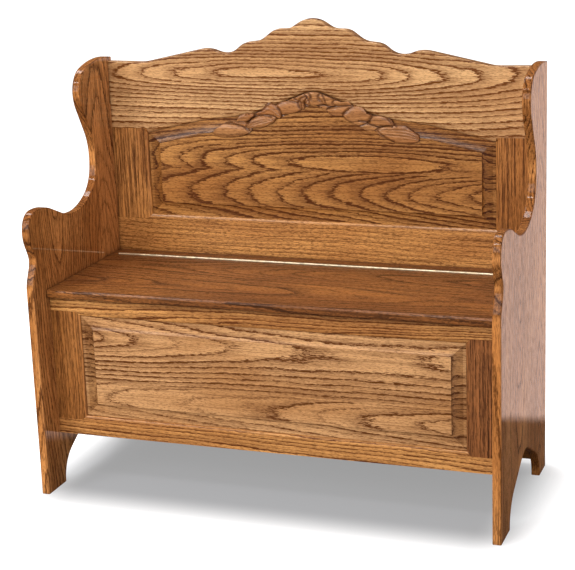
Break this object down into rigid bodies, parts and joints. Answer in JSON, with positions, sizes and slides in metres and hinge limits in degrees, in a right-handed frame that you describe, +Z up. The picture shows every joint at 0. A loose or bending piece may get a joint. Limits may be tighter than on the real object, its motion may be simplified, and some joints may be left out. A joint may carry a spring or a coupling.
{
  "type": "settle bench",
  "caption": "High-backed settle bench with scrolled solid ends, raised panels, a shaped crest rail, a carved band and a hinged seat lid over a storage box.",
  "frame": {"origin": "on the floor, in the middle of the bench's width and depth", "axes": "+X to the right as seen from the front, +Y to the back, +Z up; +X runs along the bench's length"},
  "size_m": [1.067, 0.46, 1.0294],
  "materials": {
    "oak": "stained oak under satin varnish",
    "panel_oak": "stained oak under satin varnish, cathedral grain",
    "carved_oak": "carved stained oak under satin varnish",
    "plywood": "stained oak plywood, thin varnish",
    "cleat_wood": "plain wood, thin varnish",
    "dowel_wood": "bare wood",
    "brass": "satin lacquered brass",
    "pin_steel": "brass-plated steel wire",
    "screw_steel": "zinc-plated steel"
  },
  "bodies": {
    "bench": {"left_end_board": "oak", "right_end_board": "oak", "front_top_rail": "oak", "front_bottom_rail": "oak", "front_left_stile": "oak", "front_right_stile": "oak", "crest_rail": "oak", "back_left_stile": "oak", "back_right_stile": "oak", "back_lower_rail": "oak", "seat_strip": "oak", "front_raised_panel": "panel_oak", "back_raised_panel": "panel_oak", "carved_band": "carved_oak", "box_floor": "plywood", "box_back_board": "plywood", "floor_front_cleat": "cleat_wood", "floor_back_cleat": "cleat_wood", "floor_left_cleat": "cleat_wood", "floor_right_cleat": "cleat_wood", "box_left_corner_cleat": "cleat_wood", "box_right_corner_cleat": "cleat_wood", "seat_left_ledger": "cleat_wood", "seat_right_ledger": "cleat_wood", "seat_back_ledger": "cleat_wood", "front_frame_dowels": "dowel_wood", "back_frame_dowels": "dowel_wood", "hinge_fixed_leaf": "brass", "hinge_fixed_screws": "brass", "hinge_pin": "pin_steel", "floor_cleat_screws": "screw_steel", "seat_ledger_screws": "screw_steel", "back_board_screws": "screw_steel"},
    "lid": {"seat_lid": "oak", "lid_batten_1": "cleat_wood", "lid_batten_2": "cleat_wood", "lid_batten_3": "cleat_wood", "lid_batten_screws": "screw_steel", "hinge_lid_leaf": "brass", "hinge_lid_screws": "brass"}
  },
  "joints": [
    {"name": "lid_hinge", "type": "hinge", "parent": "bench", "child": "lid", "pos_m": [0, 0.1635, 0.4696], "axis": [-1, 0, 0], "range_deg": [0, 95]}
  ]
}
